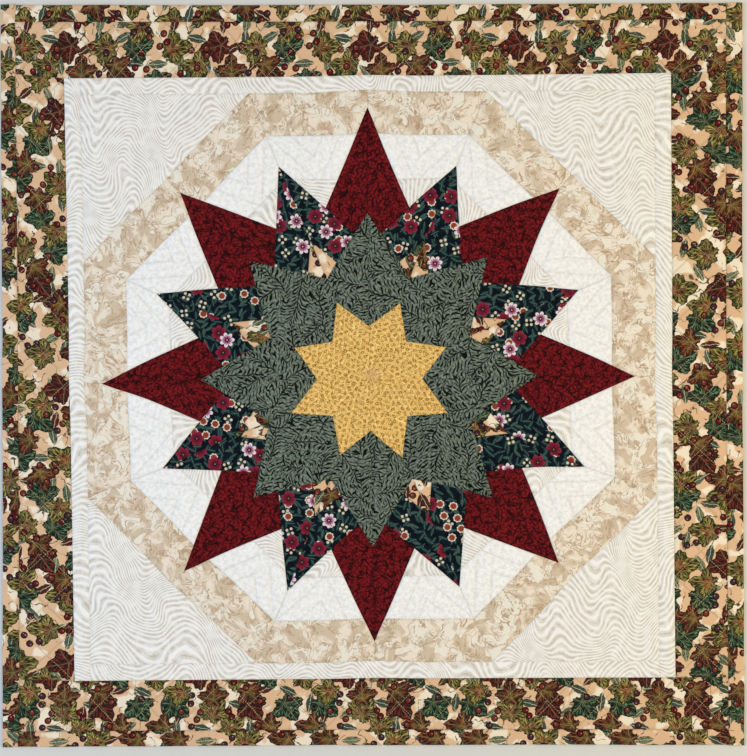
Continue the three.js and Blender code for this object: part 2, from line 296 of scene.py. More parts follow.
class Cloth:
    """A fabric's mesh as it grows: patches are laid in one by one, each closed by a wall and an underside."""

    def __init__(self):
        self.points, self.faces, self.grain, self.seams = [], [], [], []
        self.count = 0

    def add(self, points, faces, grain, seams):
        """Adds a patch's mesh, with each point's place in the print and how much painted shade it gets near a
        seam.
        """
        self.points.append(points)
        self.faces.append(faces + self.count)
        self.grain.append(grain)
        self.seams.append(seams)
        self.count += len(points)

    def lay(self, panel, angle=0.0, mirror=False, grain_turn=0.0, grain_shift=(0.0, 0.0)):
        """Lays a panel down, turned about the middle, with its print turned and shifted on it."""
        # The relief, and the painted shade near the panel's seams and quilting lines.
        rise, seams = panel.relief()
        points, faces = panel.points, panel.faces
        if mirror:
            points, faces = points * [1, -1], faces[:, ::-1]
        points = turned(points, angle)
        grain = turned(points, grain_turn) + grain_shift
        x, y = lie(*points.T)
        top = np.column_stack([x, y, base_height(*points.T) + rise])
        edge = panel.rim[:, ::-1] if mirror else panel.rim
        loop = edge[:, 0]
        low = {vert: len(top) + k for k, vert in enumerate(loop)}
        foot = top[loop] * [1, 1, 0] + [0, 0, BATTING_Z]
        middle = np.append(foot[:, :2].mean(0), BATTING_Z)
        centre = len(top) + len(loop)
        sides = []
        for a, b in edge:
            sides += [(b, a, low[a]), (b, low[a], low[b]), (low[b], low[a], centre)]
        # The hidden walls and underside get full painted shade.
        self.add(
            np.vstack([top, foot, middle]),
            np.vstack([faces, sides]),
            np.vstack([grain, grain[loop], grain.mean(0)]),
            np.concatenate([seams, np.ones(len(loop) + 1)]),
        )

    def make(self, name, material, replaces=()):
        """The finished piece, with its print's map and the painted shade near its seams."""
        mesh = bpy.data.meshes.new(name)
        points, faces = np.vstack(self.points), np.vstack(self.faces)
        mesh.from_pydata(points.tolist(), [], faces.tolist())
        grain = np.vstack(self.grain)
        layer = mesh.uv_layers.new(name="grain")
        layer.uv.foreach_set("vector", grain[faces.ravel()].astype(np.float32).ravel())
        # The painted shade near the seams and quilting lines, which darkens the cloth's colour.
        shade = mesh.attributes.new("seam", "FLOAT", "POINT")
        shade.data.foreach_set("value", np.concatenate(self.seams).astype(np.float32))
        mesh.materials.append(material)
        mesh.polygons.foreach_set("use_smooth", np.ones(len(faces), bool))
        mesh.set_sharp_from_angle(angle=SMOOTH_BELOW)
        mesh.update()
        piece = bpy.data.objects.new(name, mesh)
        bpy.context.scene.collection.objects.link(piece)
        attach(piece, "root")
        if replaces:
            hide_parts(*replaces)
        return piece


# The drawing of the star.
def on_axis(radius):
    return np.array([radius, 0.0])


def half_way(radius):
    return radius * np.array([math.cos(HALF_STEP), math.sin(HALF_STEP)])


def on_side(distance):
    return distance * np.array([1.0, math.tan(HALF_STEP)])


def meet(a, b, c, d):
    """Where the line through a and b crosses the line through c and d."""
    share = np.linalg.solve(np.column_stack([b - a, c - d]), c - a)[0]
    return a + (b - a) * share


def star_patches():
    """The patches of one sixteenth of the star, from an axis to the line half way to the next."""
    gold_notch, gold_tip = on_axis(GOLD_NOTCH), half_way(GOLD_TIP)
    green_tip, green_notch = on_axis(GREEN_TIP), half_way(GREEN_NOTCH)
    peek_foot, peek_tip = green_tip + (green_notch - green_tip) * PEEK_SHARE, half_way(PEEK_TIP)
    navy_tip, navy_aim = half_way(NAVY_TIP), on_axis(NAVY_AIM)
    red_tip = on_axis(RED_TIP)
    red_aim = red_tip + 0.1 * np.array([-math.cos(RED_HALF_ANGLE), math.sin(RED_HALF_ANGLE)])
    navy_foot = meet(navy_tip, navy_aim, green_tip, green_notch)
    red_foot = meet(navy_tip, navy_aim, red_tip, red_aim)
    red_seam = meet(red_tip, red_aim, on_axis(WHITE_INNER), on_side(WHITE_INNER))
    navy_seam = meet(navy_tip, navy_aim, on_axis(WHITE_INNER), on_side(WHITE_INNER))
    red_tan = meet(red_tip, red_aim, on_axis(TAN_INNER), on_side(TAN_INNER))
    tan_inner, tan_outer = on_side(TAN_INNER), on_side(SQUARE_INNER)
    return {
        "gold": [on_axis(0), gold_notch, gold_tip],
        "green": [gold_notch, green_tip, green_notch, gold_tip],
        "peek": [peek_foot, peek_tip, green_notch],
        "navy": [navy_foot, navy_tip, peek_tip, peek_foot],
        "red": [green_tip, red_tip, red_foot, navy_foot],
        "grain": [red_foot, red_seam, navy_seam],
        "white": [red_seam, red_tan, tan_inner, navy_tip, navy_seam],
        "tan": [red_tan, red_tip, on_axis(SQUARE_INNER), tan_outer, tan_inner],
    }


class Recipe:
    """A node tree as it is drawn up: each call adds a node and gives back what it puts out."""

    def __init__(self, tree):
        self.tree = tree

    def add(self, kind, **settings):
        node = self.tree.nodes.new("ShaderNode" + kind)
        for name, value in settings.items():
            setattr(node, name, value)
        return node

    def feed(self, socket, value):
        if isinstance(value, bpy.types.NodeSocket):
            self.tree.links.new(value, socket)
        elif value is not None:
            socket.default_value = value

    def math(self, operation, a, b=None, c=None):
        node = self.add("Math", operation=operation)
        for socket, value in zip(node.inputs, (a, b, c)):
            self.feed(socket, value)
        return node.outputs[0]

    def times(self, a, b):
        return self.math("MULTIPLY", a, b)

    def over(self, a, b):
        return self.math("DIVIDE", a, b)

    def minus(self, a, b):
        return self.math("SUBTRACT", a, b)

    def times_plus(self, a, b, c):
        return self.math("MULTIPLY_ADD", a, b, c)

    def apart(self, a, b):
        """How far apart two values are."""
        return self.math("ABSOLUTE", self.minus(a, b))

    def vector(self, operation, a, b=None, scale=None):
        node = self.add("VectorMath", operation=operation)
        self.feed(node.inputs[0], a)
        self.feed(node.inputs[1], b)
        self.feed(node.inputs[3], scale)
        return node.outputs[1 if operation == "LENGTH" else 0]

    def parts(self, vector):
        node = self.add("SeparateXYZ")
        self.feed(node.inputs[0], vector)
        return node.outputs

    def point(self, x=0.0, y=0.0, z=0.0):
        node = self.add("CombineXYZ")
        for socket, value in zip(node.inputs, (x, y, z)):
            self.feed(socket, value)
        return node.outputs[0]

    def noise(self, vector, size, detail=2.0, roughness=0.5):
        node = self.add("TexNoise", noise_dimensions="2D")
        self.feed(node.inputs["Vector"], vector)
        for name, value in (("Scale", 1 / size), ("Detail", detail), ("Roughness", roughness)):
            node.inputs[name].default_value = value
        return node.outputs

    def cloud(self, vector, size, **settings):
        """A soft noise from 0 to 1, mostly near a half."""
        return self.noise(vector, size, **settings)["Fac"]

    def mix(self, share, a, b, blend="MIX"):
        node = self.add("Mix", data_type="RGBA", blend_type=blend)
        self.feed(node.inputs[0], share)
        self.feed(node.inputs[6], a)
        self.feed(node.inputs[7], b)
        return node.outputs[2]

    def step(self, value, low, high):
        """0 below low, 1 above high, and an even slope between them."""
        node = self.add("MapRange")
        for socket, number in zip(node.inputs, (value, low, high, 0.0, 1.0)):
            self.feed(socket, number)
        return node.outputs[0]

    def below(self, chance, part):
        return self.math("LESS_THAN", chance, part)

    def choose(self, chance, dyes):
        """One of several dyes, each for an equal share of the chance."""
        node = self.add("ValToRGB")
        ramp = node.color_ramp
        ramp.interpolation = "CONSTANT"
        while len(ramp.elements) < len(dyes):
            ramp.elements.new(0.5)
        for k, colour in enumerate(dyes):
            ramp.elements[k].position = k / len(dyes)
            ramp.elements[k].color = colour
        self.feed(node.inputs[0], chance)
        return node.outputs[0]

    def use(self, group, **values):
        node = self.add("Group", node_tree=group)
        for name, value in values.items():
            self.feed(node.inputs[name.replace("_", " ").capitalize()], value)
        return node.outputs


def dye(red, green, blue):
    """A dye's colour as it looks in daylight, from 0 to 255, as the light that it sends back."""
    return tuple(((c / 255 + 0.055) / 1.055) ** 2.4 for c in (red, green, blue)) + (1.0,)


def new_group(name, inputs, outputs, draw):
    """A shared effect: draw gets a recipe and the inputs by name, and gives back the outputs in order."""
    tree = bpy.data.node_groups.new(name, "ShaderNodeTree")
    for label, default in inputs.items():
        kind = "NodeSocketVector" if isinstance(default, tuple) else "NodeSocketFloat"
        socket = tree.interface.new_socket(name=label, in_out="INPUT", socket_type=kind)
        socket.default_value = default
    for label in outputs:
        kind = "NodeSocketVector" if label == "Place" else "NodeSocketFloat"
        tree.interface.new_socket(name=label, in_out="OUTPUT", socket_type=kind)
    recipe = Recipe(tree)
    given = tree.nodes.new("NodeGroupInput")
    results = draw(recipe, *given.outputs[: len(inputs)])
    out = tree.nodes.new("NodeGroupOutput")
    for socket, value in zip(out.inputs, results):
        tree.links.new(value, socket)
    return tree


def draw_strewn(r, vector, pitch, stray, seed, repeat):
    """Motifs strewn in staggered rows: a point's place from its motif's middle, turned, and three chances."""
    cell = r.vector("DIVIDE", vector, r.point(pitch, pitch, 1.0))
    x, y, _ = r.parts(cell)
    row = r.math("FLOOR", y)
    x = r.math("ADD", x, r.times(row, 0.5))
    column = r.math("FLOOR", x)
    lot = r.point(r.math("FLOORED_MODULO", column, repeat), r.math("FLOORED_MODULO", row, repeat), seed)
    draws = []
    for shift in ((0, 0, 0), (0, 0, 31.7)):
        node = r.add("TexWhiteNoise", noise_dimensions="3D")
        r.feed(node.inputs["Vector"], r.vector("ADD", lot, shift))
        draws.append(r.parts(node.outputs["Color"]))
    off_x = r.times_plus(r.minus(draws[0][0], 0.5), stray, r.math("ADD", column, 0.5))
    off_y = r.times_plus(r.minus(draws[0][1], 0.5), stray, r.math("ADD", row, 0.5))
    place = r.point(r.minus(x, off_x), r.minus(y, off_y))
    turn = r.add("VectorRotate", rotation_type="Z_AXIS")
    r.feed(turn.inputs["Vector"], r.vector("SCALE", place, scale=pitch))
    r.feed(turn.inputs["Angle"], r.times(draws[0][2], 2 * math.pi))
    return turn.outputs[0], draws[1][0], draws[1][1], draws[1][2]


def draw_leaf(r, place, radius, lobes, depth):
    """A lobed leaf that spreads from its stalk: its fill, rim, veins, how far out a point is, and strokes."""
    stalk = r.vector("ADD", place, r.point(r.times(radius, 0.42)))
    x, y, _ = r.parts(stalk)
    away = r.vector("LENGTH", stalk)
    angle = r.math("ARCTAN2", y, x)
    lobe = r.over(math.pi, lobes)
    fold = r.math("PINGPONG", angle, lobe)
    notch = r.math("POWER", r.over(fold, lobe), 1.3)
    edge = r.times_plus(notch, r.times(depth, -1), 0.96)
    edge = r.times(edge, r.times_plus(r.math("COSINE", angle), 0.42, 1.0))
    edge = r.times_plus(r.math("PINGPONG", angle, 0.16), -0.5, edge)
    edge = r.times(edge, radius)
    gap = r.minus(edge, away)
    fill = r.step(gap, -0.2, 0.3)
    rim = r.minus(1.0, r.step(r.math("ABSOLUTE", gap), 0.5, 1.2))
    out = r.times(away, r.math("COSINE", fold))
    side = r.times(away, r.math("SINE", fold))
    stem = r.minus(1.0, r.step(side, 0.25, 0.8))
    barb = r.math("PINGPONG", r.times_plus(side, -1.1, out), 2.9)
    veins = r.math("MAXIMUM", stem, r.times(r.step(barb, 0.6, 0.1), 0.5))
    brush = r.cloud(r.point(r.times(angle, 9.0), r.times(away, 0.16)), 1.0, detail=3.0)
    return fill, rim, veins, r.over(away, edge), brush


def draw_flower(r, place, radius, petals, depth):
    """A round-petalled flower: its fill, the gaps between its petals, and how far out a point is."""
    x, y, _ = r.parts(place)
    away = r.vector("LENGTH", place)
    petal = r.over(math.pi, petals)
    fold = r.over(r.math("PINGPONG", r.math("ARCTAN2", y, x), petal), petal)
    edge = r.times_plus(r.math("POWER", fold, 2.0), r.times(depth, -1), 1.0)
    edge = r.times(edge, radius)
    fill = r.step(r.minus(edge, away), -0.2, 0.3)
    split = r.step(r.times(r.minus(1.0, fold), away), 1.3, 0.4)
    return fill, split, r.over(away, edge)


def draw_blade(r, place, length, width):
    """A plain pointed leaf: its fill and its midrib."""
    x, y, _ = r.parts(place)
    along = r.over(x, length)
    half = r.times(r.minus(1.0, r.times(along, along)), width)
    off = r.math("ABSOLUTE", y)
    fill = r.step(r.minus(half, off), -0.15, 0.3)
    return fill, r.times(fill, r.step(off, 0.6, 0.15))


def draw_frond(r, place, pitch, length):
    """Fern leaflets that slant from both sides of a stem: the tapered, bowed strokes between them."""
    x, y, _ = r.parts(place)
    off = r.math("ABSOLUTE", y)
    ranks = r.over(off, length)
    rank = r.math("FLOOR", ranks)
    along = r.times_plus(r.minus(ranks, rank), 2.0, -1.0)
    bow = r.times(along, along)
    across = r.over(r.times_plus(off, -0.75, x), pitch)
    across = r.math("ADD", r.times_plus(rank, 0.43, across), r.times(bow, 0.3))
    column = r.math("FLOOR", across)
    lot = r.add("TexWhiteNoise", noise_dimensions="3D")
    r.feed(lot.inputs["Vector"], r.point(column, rank, r.math("SIGN", y)))
    width = r.times_plus(lot.outputs["Value"], 0.2, 0.115)
    half = r.times(r.minus(1.0, bow), width)
    away = r.apart(r.minus(across, column), 0.5)
    stroke = r.step(r.minus(half, away), -0.04, 0.03)
    return (r.math("MAXIMUM", stroke, r.step(off, 1.0, 0.5)),)


def draw_weave(r, vector, pitch):
    """Plain weave: threads that pass over and under, and the slubs along them."""
    x, y, _ = r.parts(r.vector("SCALE", vector, scale=r.over(math.pi, pitch)))
    over = r.times(r.math("SINE", x), r.math("SINE", y))
    slub = r.cloud(r.vector("MULTIPLY", vector, (0.25, 1.4, 1.0)), 1.0, detail=1.0)
    return (r.times_plus(slub, 0.8, r.times(over, 0.35)),)


def draw_cotton(r, vector, amount):
    """How much light the cloth sends back from place to place: soft handling marks and fine slubs."""
    broad = r.cloud(vector, 45.0, detail=2.0)
    fine = r.cloud(vector, 1.1, detail=1.0)
    marks = r.times_plus(fine, 0.6, r.times(broad, 0.9))
    return (r.times_plus(r.minus(marks, 0.75), amount, 1.0),)


STREWN = new_group(
    "Strewn motifs",
    {"Vector": (0, 0, 0), "Pitch": 10.0, "Stray": 0.4, "Seed": 0.0, "Repeat": 4.0},
    ["Place", "Chance", "Second chance", "Third chance"],
    draw_strewn,
)
LEAF = new_group(
    "Lobed leaf",
    {"Place": (0, 0, 0), "Radius": 20.0, "Lobes": 5.0, "Depth": 0.4},
    ["Fill", "Rim", "Veins", "Reach", "Brush"],
    draw_leaf,
)
FLOWER = new_group(
    "Flower",
    {"Place": (0, 0, 0), "Radius": 9.0, "Petals": 6.0, "Depth": 0.3},
    ["Fill", "Split", "Reach"],
    draw_flower,
)
BLADE = new_group(
    "Pointed leaf",
    {"Place": (0, 0, 0), "Length": 6.0, "Width": 2.5},
    ["Fill", "Midrib"],
    draw_blade,
)
FROND = new_group("Fern frond", {"Place": (0, 0, 0), "Pitch": 4.0, "Length": 8.0}, ["Stroke"], draw_frond)
WEAVE = new_group("Plain weave", {"Vector": (0, 0, 0), "Pitch": 0.45}, ["Height"], draw_weave)
COTTON = new_group("Cotton tone", {"Vector": (0, 0, 0), "Amount": 0.15}, ["Tone"], draw_cotton)


def strewn(r, vector, pitch, stray, seed, repeat=64.0):
    """Motifs a pitch apart that stray by a share of it, in a layout that comes round after so many."""
    return r.use(STREWN, Vector=vector, Pitch=pitch, Stray=stray, Seed=seed, Repeat=repeat)


def new_cloth(name, paint, cotton=0.16, seam_painted_shade=0.3, weave=0.45):
    """A printed cotton: the print, soft unevenness, painted shade near the seams and quilting lines, and a
    woven surface.
    """
    material = bpy.data.materials.new(name)
    material.use_nodes = True
    tree = material.node_tree
    tree.nodes.clear()
    r = Recipe(tree)
    grain = r.vector("SCALE", r.add("UVMap", uv_map="grain").outputs[0], scale=1 / MM)
    colour = paint(r, grain)
    tone = r.use(COTTON, Vector=grain, Amount=cotton)["Tone"]
    # The cotton's own tone, darkened by painted shade near the seams and along the quilting lines.
    seam = r.add("Attribute", attribute_name="seam").outputs["Fac"]
    tone = r.times(tone, r.times_plus(seam, -seam_painted_shade, 1.0))
    colour = r.mix(1.0, colour, tone, "MULTIPLY")
    height = r.use(WEAVE, Vector=grain, Pitch=weave)["Height"]
    dent = r.add("Bump")
    dent.inputs["Strength"].default_value = BUMP
    dent.inputs["Distance"].default_value = THREAD_HEIGHT
    r.feed(dent.inputs["Height"], height)
    shader = r.add("BsdfPrincipled")
    r.feed(shader.inputs["Base Color"], colour)
    r.feed(shader.inputs["Roughness"], r.times_plus(height, ROUGH_RISE, ROUGH))
    r.feed(shader.inputs["Normal"], dent.outputs[0])
    shader.inputs["Sheen Weight"].default_value = SHEEN
    shader.inputs["Sheen Roughness"].default_value = SHEEN_ROUGH
    shader.inputs["Specular IOR Level"].default_value = SHINE
    out = r.add("OutputMaterial")
    r.feed(out.inputs["Surface"], shader.outputs[0])
    return material


def shifted(r, grain, x, y):
    return r.vector("ADD", grain, (x, y, 0))


def wavered(r, grain, size, amount, detail=2.0):
    """The same place, moved about by a soft noise, so that what is drawn there has a hand-painted line."""
    push = r.vector("SUBTRACT", r.noise(grain, size, detail)["Color"], (0.5, 0.5, 0.5))
    return r.vector("ADD", grain, r.vector("SCALE", push, scale=amount))


def paint_gold(r, grain):
    """Warm gold with ochre seeds among feathery strokes, and a little faded at the star's middle."""
    colour = r.mix(r.cloud(grain, 22.0), dye(240, 197, 114), dye(228, 184, 102))
    bent = wavered(r, grain, 9.0, 7.0)
    flow = r.math("PINGPONG", r.times(r.cloud(bent, 15.0, detail=0.0), 10.0), 0.5)
    patchy = r.step(r.cloud(grain, 6.0), 0.42, 0.54)
    colour = r.mix(r.times(r.step(flow, 0.34, 0.44), 0.75), colour, dye(252, 223, 154))
    colour = r.mix(r.times(r.step(flow, 0.17, 0.05), r.times(patchy, 0.9)), colour, dye(172, 122, 52))
    ink = dye(146, 100, 36)
    seeds = strewn(r, grain, 7.2, 0.25, 1.0)
    x, _, _ = r.parts(seeds["Place"])
    round_off = r.vector("LENGTH", r.vector("DIVIDE", seeds["Place"], (2.5, 1.5, 1.0)))
    ring = r.step(r.apart(round_off, 0.75), 0.4, 0.15)
    head = r.times(r.step(round_off, 0.9, 0.6), r.step(x, 0.0, 1.0))
    mark = r.math("MAXIMUM", ring, head)
    colour = r.mix(r.times(mark, r.times_plus(seeds["Chance"], 0.4, 0.6)), colour, ink)
    dashes = strewn(r, shifted(r, grain, 2.6, 1.9), 5.6, 0.2, 7.0)
    dash = r.use(BLADE, Place=dashes["Place"], Length=2.2, Width=0.6)
    colour = r.mix(r.times(dash["Fill"], 0.6), colour, ink)
    middle = r.vector("LENGTH", r.add("TexCoord").outputs["Object"])
    return r.mix(r.times(r.step(middle, 0.014, 0.002), 0.4), colour, dye(212, 160, 130))


def paint_green(r, grain):
    """Grey-green fern leaflets, close together, with near-black strokes between them."""
    bent = wavered(r, wavered(r, grain, 26.0, 14.0), 6.0, 1.8)
    colour = r.mix(r.step(r.cloud(grain, 3.2), 0.35, 0.65), dye(78, 90, 80), dye(125, 138, 123))
    dark = dye(8, 12, 9)
    spot = strewn(r, bent, 34.0, 0.4, 3.0)
    stroke = r.use(FROND, Place=spot["Place"], Pitch=5.2, Length=9.5)["Stroke"]
    colour = r.mix(stroke, colour, dark)
    thicket = r.step(r.cloud(grain, 15.0), 0.4, 0.52)
    for shift, seed in ((0.0, 13.0), (5.1, 19.0)):
        spot = strewn(r, shifted(r, bent, shift, 1.3 * shift), 9.5, 0.2, seed)
        gap = r.use(BLADE, Place=spot["Place"], Length=3.7, Width=0.95)["Fill"]
        colour = r.mix(r.times(gap, r.times(thicket, r.below(spot["Chance"], 0.75))), colour, dark)
    return colour


def paint_red(r, grain):
    """Deep red with darker twining stems and small leaves."""
    colour = r.mix(r.step(r.cloud(grain, 3.0, detail=3.0), 0.36, 0.66), dye(126, 24, 30), dye(66, 6, 12))
    dark = dye(32, 3, 7)
    bent = wavered(r, grain, 9.0, 6.0)
    for shift in (0.0, 41.0):
        twine = r.cloud(shifted(r, bent, shift, shift), 17.0, detail=0.0)
        line = r.step(r.apart(twine, 0.5), 0.036, 0.016)
        patchy = r.step(r.cloud(shifted(r, grain, -shift, shift), 12.0), 0.4, 0.48)
        colour = r.mix(r.times(line, r.times(patchy, 0.9)), colour, dark)
    for shift, seed in ((0.0, 5.0), (5.4, 11.0), (2.7, 15.0)):
        spot = strewn(r, shifted(r, bent, shift, shift), 15.0, 0.2, seed)
        blade = r.use(BLADE, Place=spot["Place"], Length=5.9, Width=1.2)["Fill"]
        colour = r.mix(r.times(blade, 0.78), colour, dark)
    return colour


def paint_white(r, grain):
    """White cotton with a faint mottle."""
    mottle = r.step(r.cloud(grain, 5.0, detail=4.0, roughness=0.7), 0.4, 0.62)
    return r.mix(mottle, dye(248, 248, 247), dye(230, 230, 229))


def paint_grain(r, grain):
    """Off-white with the flowing, softly doubled lines of sawn wood."""
    bent = wavered(r, grain, 44.0, 22.0, detail=0.0)
    x, y, _ = r.parts(wavered(r, bent, 6.0, 1.8))
    swing = r.cloud(r.vector("MULTIPLY", bent, (1.0, 0.4, 1.0)), 62.0, detail=0.0)
    lines = r.times_plus(swing, 120.0, r.times_plus(x, 0.35, y))
    band = r.math("PINGPONG", r.over(lines, 3.4), 1.0)
    hair = r.math("PINGPONG", r.over(lines, 1.7), 1.0)
    broken = r.step(r.cloud(grain, 10.0), 0.36, 0.6)
    ground = r.mix(r.cloud(grain, 16.0), dye(249, 249, 248), dye(238, 237, 234))
    ink = r.mix(r.cloud(grain, 40.0), dye(162, 156, 142), dye(184, 164, 128))
    line = r.times_plus(r.step(band, 0.5, 0.92), 0.52, r.times(r.step(hair, 0.6, 0.95), 0.34))
    return r.mix(r.times(line, r.times_plus(broken, 0.7, 0.6)), ground, ink)


def paint_tan(r, grain):
    """Tan marble: large pale islands in a warmer ground, with brown swirls and flecks between them."""
    bent = wavered(r, wavered(r, grain, 34.0, 30.0), 10.0, 6.0)
    mottle = r.cloud(bent, 19.0, detail=3.0, roughness=0.45)
    colour = r.mix(r.step(mottle, 0.42, 0.56), dye(210, 192, 168), dye(237, 225, 208))
    islands = r.cloud(shifted(r, bent, 30.0, 10.0), 25.0, detail=1.0)
    colour = r.mix(r.step(islands, 0.53, 0.55), colour, dye(236, 230, 216))
    brown = dye(174, 142, 108)
    for shift, size in ((0.0, 14.0), (55.0, 9.0)):
        long = r.vector("MULTIPLY", shifted(r, bent, shift, -shift), (1.0, 0.6, 1.0))
        swirl = r.cloud(long, size, detail=2.0, roughness=0.5)
        line = r.step(r.apart(swirl, 0.5), 0.026, 0.008)
        patchy = r.step(r.cloud(shifted(r, grain, shift, 35.0), 18.0), 0.44, 0.54)
        colour = r.mix(r.times(line, r.times(patchy, 0.8)), colour, brown)
        colour = r.mix(r.times(r.step(swirl, 0.6, 0.66), r.times(patchy, 0.5)), colour, brown)
    flecks = r.times(r.step(r.cloud(bent, 2.6, detail=1.0), 0.66, 0.72), patchy)
    colour = r.mix(r.times(flecks, 0.6), colour, brown)
    shore = r.step(r.apart(islands, 0.54), 0.018, 0.005)
    return r.mix(r.times(shore, 0.6), colour, dye(186, 156, 122))


def add_flowers(r, colour, grain, lot, petals, edge):
    """Flowers strewn over a print: petals, their edge, and a heart."""
    place = shifted(r, grain, lot["x"], lot["y"])
    spot = strewn(r, place, lot["pitch"], 0.12, lot["seed"])
    size = {"Radius": lot["radius"], "Petals": lot["petals"], "Depth": lot["depth"]}
    flower = r.use(FLOWER, Place=spot["Place"], **size)
    reach = flower["Reach"]
    bloom = r.mix(r.step(reach, 0.3, 0.75), lot["inner"], petals)
    bloom = r.mix(r.times(r.step(reach, lot["edge"], lot["edge"] + 0.08), lot["edged"]), bloom, edge)
    bloom = r.mix(r.times(flower["Split"], lot["split"]), bloom, lot["shade"])
    bloom = r.mix(r.step(reach, 0.3, 0.22), bloom, lot["heart"])
    bloom = r.mix(r.step(reach, 0.12, 0.08), bloom, lot["eye"])
    share = r.times(flower["Fill"], r.below(spot["Chance"], lot["part"]))
    return r.mix(share, colour, bloom)


RUST_FLOWERS = {
    "x": 3, "y": 9, "pitch": 15.0, "seed": 12.0, "radius": 5.5, "petals": 8.0, "depth": 0.2, "part": 0.2,
    "inner": dye(142, 62, 36), "edge": 0.7, "edged": 1.0, "split": 0.3,
    "shade": dye(110, 50, 40), "heart": dye(110, 44, 28), "eye": dye(180, 110, 60),
}
MAROON_FLOWERS = {
    "x": 0, "y": 0, "pitch": 25.0, "seed": 22.0, "radius": 9.5, "petals": 6.0, "depth": 0.3, "part": 0.42,
    "inner": dye(92, 20, 38), "edge": 0.8, "edged": 0.4, "split": 0.75,
    "shade": dye(52, 12, 28), "heart": dye(26, 30, 34), "eye": dye(150, 120, 90),
}
WHITE_FLOWERS = {
    "x": 12, "y": 6, "pitch": 29.0, "seed": 32.0, "radius": 9.4, "petals": 7.0, "depth": 0.42, "part": 0.15,
    "inner": dye(150, 56, 98), "edge": 0.62, "edged": 0.9, "split": 1.0,
    "shade": dye(40, 18, 40), "heart": dye(44, 20, 40), "eye": dye(206, 196, 150),
}


def paint_navy(r, grain):
    """Near-black navy crowded with small teal leaves, cream dots, and maroon and white flowers."""
    colour = r.mix(r.step(r.cloud(grain, 9.0), 0.4, 0.6), dye(4, 11, 23), dye(8, 23, 31))
    for shift, seed, pitch in ((0.0, 2.0, 13.5), (6.0, 4.0, 14.5), (3.0, 8.0, 12.5)):
        spot = strewn(r, shifted(r, grain, shift, 1.4 * shift), pitch, 0.1, seed)
        blade = r.use(BLADE, Place=spot["Place"], Length=5.8, Width=2.2)
        green = r.choose(spot["Chance"], [dye(29, 56, 55), dye(52, 77, 70), dye(21, 41, 47), dye(32, 60, 55)])
        green = r.mix(r.times(blade["Midrib"], 0.7), green, dye(88, 116, 108))
        colour = r.mix(r.times(blade["Fill"], 0.9), colour, green)
    spot = strewn(r, shifted(r, grain, 4.0, 2.0), 19.0, 0.25, 6.0)
    x, y, _ = r.parts(spot["Place"])
    away = r.vector("LENGTH", spot["Place"])
    fold = r.math("PINGPONG", r.math("ARCTAN2", y, x), math.pi / 4)
    dots = r.point(r.times_plus(away, r.math("COSINE", fold), -3.9), r.times(away, r.math("SINE", fold)))
    dot = r.times(r.step(r.vector("LENGTH", dots), 2.0, 1.4), r.below(spot["Chance"], 0.4))
    colour = r.mix(dot, colour, dye(214, 200, 176))
    colour = add_flowers(r, colour, grain, RUST_FLOWERS, dye(150, 68, 42), dye(226, 216, 206))
    colour = add_flowers(r, colour, grain, MAROON_FLOWERS, dye(126, 30, 52), dye(150, 52, 74))
    return add_flowers(r, colour, grain, WHITE_FLOWERS, dye(198, 150, 174), dye(230, 216, 222))


def add_leaves(r, colour, grain, lot, crowd):
    """Lobed leaves strewn over a print: a body, a heart of another dye, strokes, veins and a dark outline."""
    place = r.vector("MULTIPLY", shifted(r, grain, lot["x"], lot["y"]), (1.0, 1.08, 1.0))
    spot = strewn(r, place, 46.0, lot["stray"], lot["seed"], 4.0)
    ragged = wavered(r, spot["Place"], 6.0, 3.0)
    leaf = r.use(LEAF, Place=ragged, Radius=lot["radius"], Lobes=5.0, Depth=lot["depth"])
    body = r.choose(spot["Chance"], lot["bodies"])
    warm = r.step(r.times_plus(leaf["Brush"], 1.2, leaf["Reach"]), 1.25, 1.0)
    body = r.mix(warm, body, r.choose(spot["Chance"], lot["hearts"]))
    body = r.mix(r.times(r.step(leaf["Brush"], 0.485, 0.415), 0.9), body, dye(22, 26, 18))
    light = r.choose(spot["Chance"], lot["lights"])
    body = r.mix(r.times(r.step(leaf["Brush"], 0.55, 0.62), 0.8), body, light)
    shade = r.step(r.cloud(place, 11.0), 0.47, 0.56)
    body = r.mix(r.times(shade, 0.5), body, dye(18, 26, 22))
    body = r.mix(r.times(leaf["Veins"], 0.24), body, dye(204, 180, 136))
    body = r.mix(r.times(leaf["Rim"], r.times_plus(spot["Third chance"], 0.5, 0.5)), body, dye(30, 15, 14))
    chance = r.below(spot["Second chance"], lot["part"] * crowd)
    return r.mix(r.times(r.math("MAXIMUM", leaf["Fill"], leaf["Rim"]), chance), colour, body)


UNDER_LEAVES = {
    "x": 0, "y": 0, "stray": 0.08, "seed": 51.0, "radius": 20.5, "depth": 0.34, "part": 0.84,
    "bodies": [dye(18, 58, 44), dye(106, 100, 38), dye(80, 16, 18), dye(118, 110, 46)],
    "hearts": [dye(18, 36, 28), dye(134, 42, 26), dye(60, 12, 14), dye(120, 52, 28)],
    "lights": [dye(112, 146, 106), dye(172, 164, 98), dye(136, 48, 42), dye(180, 168, 106)],
}
OVER_LEAVES = {
    "x": 23, "y": 23, "stray": 0.14, "seed": 57.0, "radius": 19.0, "depth": 0.42, "part": 0.7,
    "bodies": [dye(90, 15, 18), dye(116, 108, 42), dye(96, 24, 22), dye(126, 114, 48)],
    "hearts": [dye(66, 12, 14), dye(138, 40, 26), dye(120, 100, 44), dye(128, 36, 24)],
    "lights": [dye(138, 44, 42), dye(174, 166, 100), dye(146, 92, 54), dye(182, 168, 104)],
}


